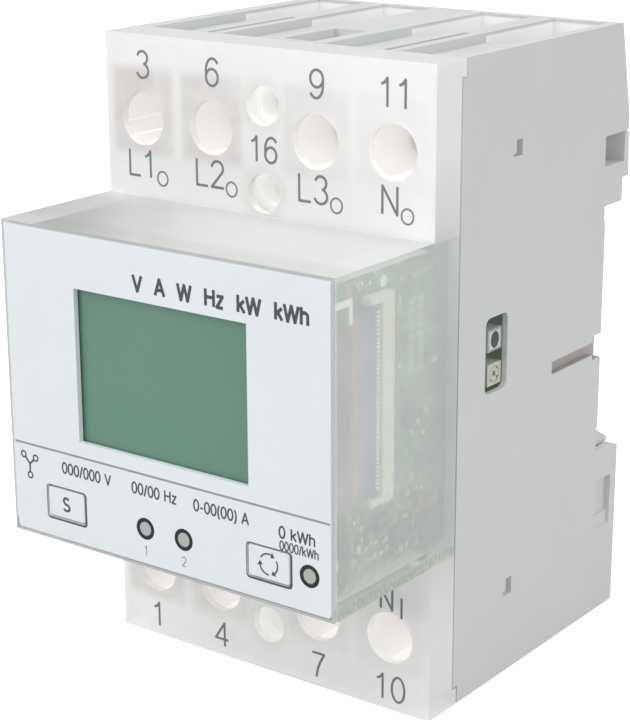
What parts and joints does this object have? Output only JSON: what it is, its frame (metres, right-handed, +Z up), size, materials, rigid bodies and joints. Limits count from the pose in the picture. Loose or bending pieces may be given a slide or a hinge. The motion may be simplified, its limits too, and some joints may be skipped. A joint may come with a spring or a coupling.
{
  "type": "smart electric meter",
  "caption": "DIN-rail three-phase smart electricity meter with stepped clear front, green display, two keys, cage terminals and a sliding rail clip.",
  "frame": {"origin": "on the face that rests on the DIN rail, at the middle of the width and of the front block's height", "axes": "+X to the right seen from the front, +Y towards the rail and the wall, +Z up"},
  "size_m": [0.054, 0.072, 0.088],
  "materials": {
    "housing_plastic": "fine satin moulding",
    "cover_plastic": "clear, milky over the terminals",
    "panel_plastic": "satin white print panel",
    "key_plastic": "satin white",
    "lcd_glass": "plain green display glass",
    "white_plastic": "satin",
    "black_plastic": "matt",
    "light_pipe": "frosted smoke grey",
    "led_body": "clear resin",
    "circuit_board": "green solder mask",
    "ivory_plastic": "satin",
    "ribbon_film": "smooth film",
    "copper": "tinned copper strip",
    "core_casing": "satin",
    "capacitor_sleeve": "shrunk sleeve",
    "shield_can": "tin plate",
    "plated_steel": "zinc plated",
    "screw_steel": "zinc plated",
    "terminal_plastic": "satin",
    "clip_plastic": "satin"
  },
  "bodies": {
    "case": {"rear_housing": "housing_plastic", "front_cover": "cover_plastic", "front_panel": "panel_plastic", "lcd_panel": "lcd_glass", "lcd_holder": "white_plastic", "s_switch": "black_plastic", "scroll_switch": "black_plastic", "led_pipe_1": "light_pipe", "led_pipe_2": "light_pipe", "pulse_pipe": "light_pipe", "led_1": "led_body", "led_2": "led_body", "pulse_led": "led_body", "display_board": "circuit_board", "side_board": "circuit_board", "main_board": "circuit_board", "ribbon_connector": "ivory_plastic", "ribbon_cable": "ribbon_film", "ir_detector": "white_plastic", "ir_emitter": "ivory_plastic", "capacitor": "capacitor_sleeve", "power_transformer": "black_plastic", "radio_module": "shield_can", "busbar_l1": "copper", "busbar_l2": "copper", "busbar_l3": "copper", "busbar_n": "copper", "current_transformer_l1": "core_casing", "current_transformer_l2": "core_casing", "current_transformer_l3": "core_casing", "aux_block_top": "terminal_plastic", "aux_block_bottom": "terminal_plastic"},
    "s_key": {"s_key": "key_plastic"},
    "scroll_key": {"scroll_key": "key_plastic"},
    "terminal_cage_3": {"terminal_cage_3": "plated_steel"},
    "terminal_cage_6": {"terminal_cage_6": "plated_steel"},
    "terminal_cage_9": {"terminal_cage_9": "plated_steel"},
    "terminal_cage_11": {"terminal_cage_11": "plated_steel"},
    "terminal_cage_1": {"terminal_cage_1": "plated_steel"},
    "terminal_cage_4": {"terminal_cage_4": "plated_steel"},
    "terminal_cage_7": {"terminal_cage_7": "plated_steel"},
    "terminal_cage_10": {"terminal_cage_10": "plated_steel"},
    "terminal_screw_3": {"terminal_screw_3": "screw_steel"},
    "terminal_screw_6": {"terminal_screw_6": "screw_steel"},
    "terminal_screw_9": {"terminal_screw_9": "screw_steel"},
    "terminal_screw_11": {"terminal_screw_11": "screw_steel"},
    "terminal_screw_1": {"terminal_screw_1": "screw_steel"},
    "terminal_screw_4": {"terminal_screw_4": "screw_steel"},
    "terminal_screw_7": {"terminal_screw_7": "screw_steel"},
    "terminal_screw_10": {"terminal_screw_10": "screw_steel"},
    "aux_clamp_top_outer": {"aux_clamp_top_outer": "plated_steel"},
    "aux_clamp_top_inner": {"aux_clamp_top_inner": "plated_steel"},
    "aux_clamp_bottom_outer": {"aux_clamp_bottom_outer": "plated_steel"},
    "aux_clamp_bottom_inner": {"aux_clamp_bottom_inner": "plated_steel"},
    "aux_screw_top_outer": {"aux_screw_top_outer": "screw_steel"},
    "aux_screw_top_inner": {"aux_screw_top_inner": "screw_steel"},
    "aux_screw_bottom_outer": {"aux_screw_bottom_outer": "screw_steel"},
    "aux_screw_bottom_inner": {"aux_screw_bottom_inner": "screw_steel"},
    "din_clip": {"din_clip": "clip_plastic"}
  },
  "joints": [
    {"name": "din_clip_slide", "type": "slide", "parent": "case", "child": "din_clip", "axis": [0, 0, -1], "range_m": [0, 0.004], "stiffness_N_per_m": 1500, "springref_m": -0.001},
    {"name": "s_key_press", "type": "slide", "parent": "case", "child": "s_key", "axis": [0, 1, 0], "range_m": [0, 0.0004], "stiffness_N_per_m": 2500},
    {"name": "scroll_key_press", "type": "slide", "parent": "case", "child": "scroll_key", "axis": [0, 1, 0], "range_m": [0, 0.0004], "stiffness_N_per_m": 2500},
    {"name": "terminal_screw_3_turn", "type": "hinge", "parent": "case", "child": "terminal_screw_3", "pos_m": [-0.0206, -0.0352, 0.0325], "axis": [0, 1, 0], "range_deg": [0, 3375]},
    {"name": "terminal_cage_3_lift", "type": "slide", "parent": "case", "child": "terminal_cage_3", "axis": [0, -1, 0], "range_m": [0, 0.0075]},
    {"name": "terminal_screw_6_turn", "type": "hinge", "parent": "case", "child": "terminal_screw_6", "pos_m": [-0.0086, -0.0352, 0.0325], "axis": [0, 1, 0], "range_deg": [0, 3375]},
    {"name": "terminal_cage_6_lift", "type": "slide", "parent": "case", "child": "terminal_cage_6", "axis": [0, -1, 0], "range_m": [0, 0.0075]},
    {"name": "terminal_screw_9_turn", "type": "hinge", "parent": "case", "child": "terminal_screw_9", "pos_m": [0.0086, -0.0352, 0.0325], "axis": [0, 1, 0], "range_deg": [0, 3375]},
    {"name": "terminal_cage_9_lift", "type": "slide", "parent": "case", "child": "terminal_cage_9", "axis": [0, -1, 0], "range_m": [0, 0.0075]},
    {"name": "terminal_screw_11_turn", "type": "hinge", "parent": "case", "child": "terminal_screw_11", "pos_m": [0.0206, -0.0352, 0.0325], "axis": [0, 1, 0], "range_deg": [0, 3375]},
    {"name": "terminal_cage_11_lift", "type": "slide", "parent": "case", "child": "terminal_cage_11", "axis": [0, -1, 0], "range_m": [0, 0.0075]},
    {"name": "terminal_screw_1_turn", "type": "hinge", "parent": "case", "child": "terminal_screw_1", "pos_m": [-0.0206, -0.0352, -0.0334], "axis": [0, 1, 0], "range_deg": [0, 3375]},
    {"name": "terminal_cage_1_lift", "type": "slide", "parent": "case", "child": "terminal_cage_1", "axis": [0, -1, 0], "range_m": [0, 0.0075]},
    {"name": "terminal_screw_4_turn", "type": "hinge", "parent": "case", "child": "terminal_screw_4", "pos_m": [-0.0086, -0.0352, -0.0334], "axis": [0, 1, 0], "range_deg": [0, 3375]},
    {"name": "terminal_cage_4_lift", "type": "slide", "parent": "case", "child": "terminal_cage_4", "axis": [0, -1, 0], "range_m": [0, 0.0075]},
    {"name": "terminal_screw_7_turn", "type": "hinge", "parent": "case", "child": "terminal_screw_7", "pos_m": [0.0086, -0.0352, -0.0334], "axis": [0, 1, 0], "range_deg": [0, 3375]},
    {"name": "terminal_cage_7_lift", "type": "slide", "parent": "case", "child": "terminal_cage_7", "axis": [0, -1, 0], "range_m": [0, 0.0075]},
    {"name": "terminal_screw_10_turn", "type": "hinge", "parent": "case", "child": "terminal_screw_10", "pos_m": [0.0206, -0.0352, -0.0334], "axis": [0, 1, 0], "range_deg": [0, 3375]},
    {"name": "terminal_cage_10_lift", "type": "slide", "parent": "case", "child": "terminal_cage_10", "axis": [0, -1, 0], "range_m": [0, 0.0075]},
    {"name": "aux_screw_top_outer_turn", "type": "hinge", "parent": "case", "child": "aux_screw_top_outer", "pos_m": [0.0001, -0.039, 0.0363], "axis": [0, 1, 0], "range_deg": [0, 1728]},
    {"name": "aux_clamp_top_outer_lift", "type": "slide", "parent": "case", "child": "aux_clamp_top_outer", "axis": [0, -1, 0], "range_m": [0, 0.0024]},
    {"name": "aux_screw_top_inner_turn", "type": "hinge", "parent": "case", "child": "aux_screw_top_inner", "pos_m": [0.0001, -0.039, 0.0247], "axis": [0, 1, 0], "range_deg": [0, 1728]},
    {"name": "aux_clamp_top_inner_lift", "type": "slide", "parent": "case", "child": "aux_clamp_top_inner", "axis": [0, -1, 0], "range_m": [0, 0.0024]},
    {"name": "aux_screw_bottom_outer_turn", "type": "hinge", "parent": "case", "child": "aux_screw_bottom_outer", "pos_m": [0.0001, -0.039, -0.037], "axis": [0, 1, 0], "range_deg": [0, 1728]},
    {"name": "aux_clamp_bottom_outer_lift", "type": "slide", "parent": "case", "child": "aux_clamp_bottom_outer", "axis": [0, -1, 0], "range_m": [0, 0.0024]},
    {"name": "aux_screw_bottom_inner_turn", "type": "hinge", "parent": "case", "child": "aux_screw_bottom_inner", "pos_m": [0.0001, -0.039, -0.0254], "axis": [0, 1, 0], "range_deg": [0, 1728]},
    {"name": "aux_clamp_bottom_inner_lift", "type": "slide", "parent": "case", "child": "aux_clamp_bottom_inner", "axis": [0, -1, 0], "range_m": [0, 0.0024]}
  ],
  "couplings": [
    {"joint": "terminal_screw_3_turn", "follows": "terminal_cage_3_lift", "rad_per_m": 7854},
    {"joint": "terminal_screw_6_turn", "follows": "terminal_cage_6_lift", "rad_per_m": 7854},
    {"joint": "terminal_screw_9_turn", "follows": "terminal_cage_9_lift", "rad_per_m": 7854},
    {"joint": "terminal_screw_11_turn", "follows": "terminal_cage_11_lift", "rad_per_m": 7854},
    {"joint": "terminal_screw_1_turn", "follows": "terminal_cage_1_lift", "rad_per_m": 7854},
    {"joint": "terminal_screw_4_turn", "follows": "terminal_cage_4_lift", "rad_per_m": 7854},
    {"joint": "terminal_screw_7_turn", "follows": "terminal_cage_7_lift", "rad_per_m": 7854},
    {"joint": "terminal_screw_10_turn", "follows": "terminal_cage_10_lift", "rad_per_m": 7854},
    {"joint": "aux_screw_top_outer_turn", "follows": "aux_clamp_top_outer_lift", "rad_per_m": 12566},
    {"joint": "aux_screw_top_inner_turn", "follows": "aux_clamp_top_inner_lift", "rad_per_m": 12566},
    {"joint": "aux_screw_bottom_outer_turn", "follows": "aux_clamp_bottom_outer_lift", "rad_per_m": 12566},
    {"joint": "aux_screw_bottom_inner_turn", "follows": "aux_clamp_bottom_inner_lift", "rad_per_m": 12566}
  ]
}
